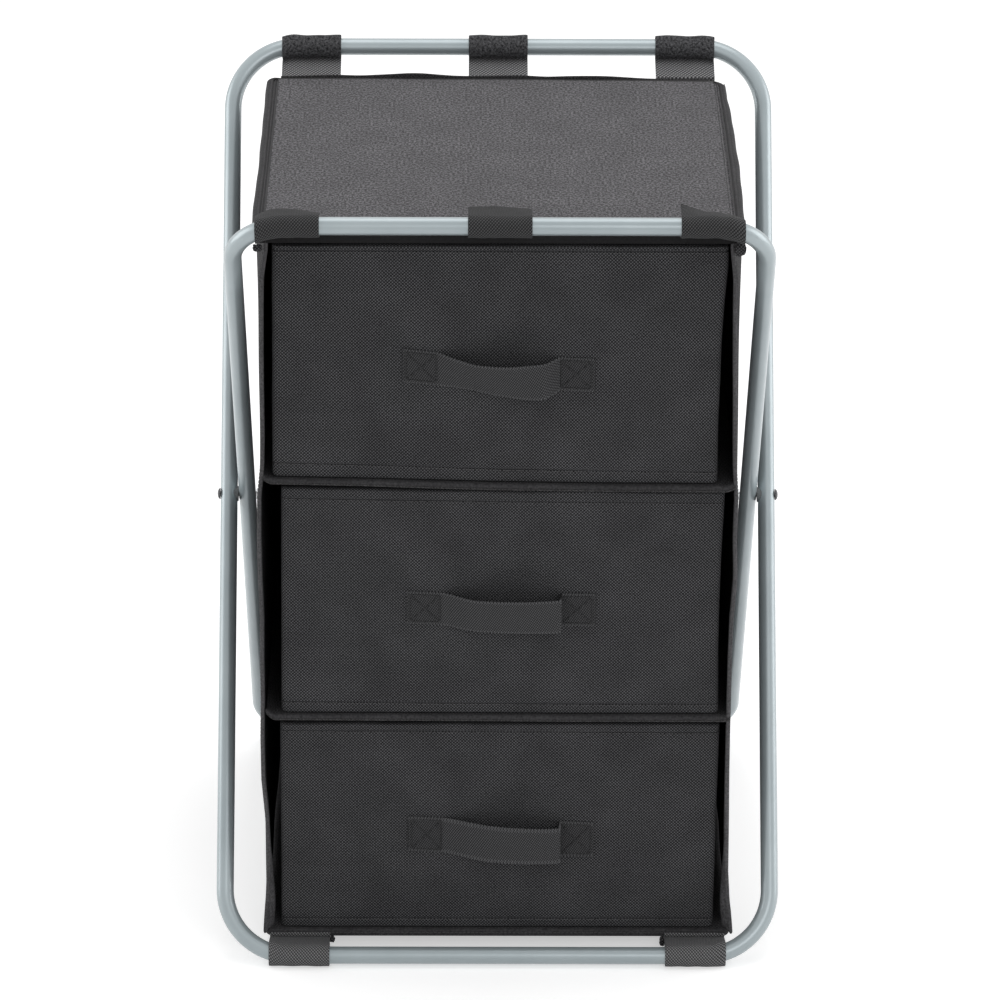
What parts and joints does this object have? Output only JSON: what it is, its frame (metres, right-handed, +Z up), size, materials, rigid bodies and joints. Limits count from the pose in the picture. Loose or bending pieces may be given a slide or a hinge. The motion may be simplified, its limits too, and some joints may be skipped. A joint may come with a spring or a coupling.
{
  "type": "drawer storage tower",
  "caption": "Folding storage tower: a steel-tube X-frame with a sewn fabric case strapped between its bars, and fabric pull-out drawers with webbing handles.",
  "frame": {"origin": "on the floor, midway between the side tubes and straight below the pivot axis, with the frame open", "axes": "+X to the right seen from the front, -Y to the front where the drawers pull out, +Z up; the pivot axis runs along X"},
  "size_m": [0.4454, 0.4277, 0.6253],
  "materials": {
    "tube": "gloss",
    "bolt": "satin",
    "nut": "satin",
    "spacer": "matte",
    "strap": "matte",
    "case": "matte",
    "drawer": "matte",
    "board": "matte",
    "webbing": "matte"
  },
  "bodies": {
    "outer_frame": {"outer_frame_tube": "tube", "pivot_bolt_left": "bolt", "pivot_bolt_right": "bolt", "pivot_nut_left": "nut", "pivot_nut_right": "nut", "pivot_spacer_left": "spacer", "pivot_spacer_right": "spacer", "strap_back_top_left": "strap", "strap_back_top_middle": "strap", "strap_back_top_right": "strap", "strap_front_bottom_left": "strap", "strap_front_bottom_right": "strap"},
    "case": {"case_top": "case", "case_top_board": "board", "case_bottom": "case", "case_bottom_board": "board", "upper_shelf": "case", "upper_shelf_board": "board", "lower_shelf": "case", "lower_shelf_board": "board", "case_left_side": "case", "case_right_side": "case", "case_back": "case"},
    "inner_frame": {"inner_frame_tube": "tube", "strap_front_top_left": "strap", "strap_front_top_middle": "strap", "strap_front_top_right": "strap", "strap_back_bottom_left": "strap", "strap_back_bottom_right": "strap"},
    "top_drawer": {"top_drawer_box": "drawer", "top_drawer_front_board": "board", "top_drawer_base_board": "board", "top_drawer_handle": "webbing"},
    "middle_drawer": {"middle_drawer_box": "drawer", "middle_drawer_front_board": "board", "middle_drawer_base_board": "board", "middle_drawer_handle": "webbing"},
    "bottom_drawer": {"bottom_drawer_box": "drawer", "bottom_drawer_front_board": "board", "bottom_drawer_base_board": "board", "bottom_drawer_handle": "webbing"}
  },
  "joints": [
    {"name": "case_fold", "type": "hinge", "parent": "outer_frame", "child": "case", "pos_m": [0, 0, 0.31246], "axis": [-1, 0, 0], "range_deg": [0, 30]},
    {"name": "inner_frame_fold", "type": "hinge", "parent": "case", "child": "inner_frame", "pos_m": [0, 0, 0.31246], "axis": [-1, 0, 0], "range_deg": [0, 30]},
    {"name": "top_drawer_slide", "type": "slide", "parent": "case", "child": "top_drawer", "axis": [0, -1, 0], "range_m": [0, 0.3]},
    {"name": "middle_drawer_slide", "type": "slide", "parent": "case", "child": "middle_drawer", "axis": [0, -1, 0], "range_m": [0, 0.3]},
    {"name": "bottom_drawer_slide", "type": "slide", "parent": "case", "child": "bottom_drawer", "axis": [0, -1, 0], "range_m": [0, 0.3]}
  ],
  "couplings": [
    {"joint": "inner_frame_fold", "follows": "case_fold", "ratio": 1}
  ]
}
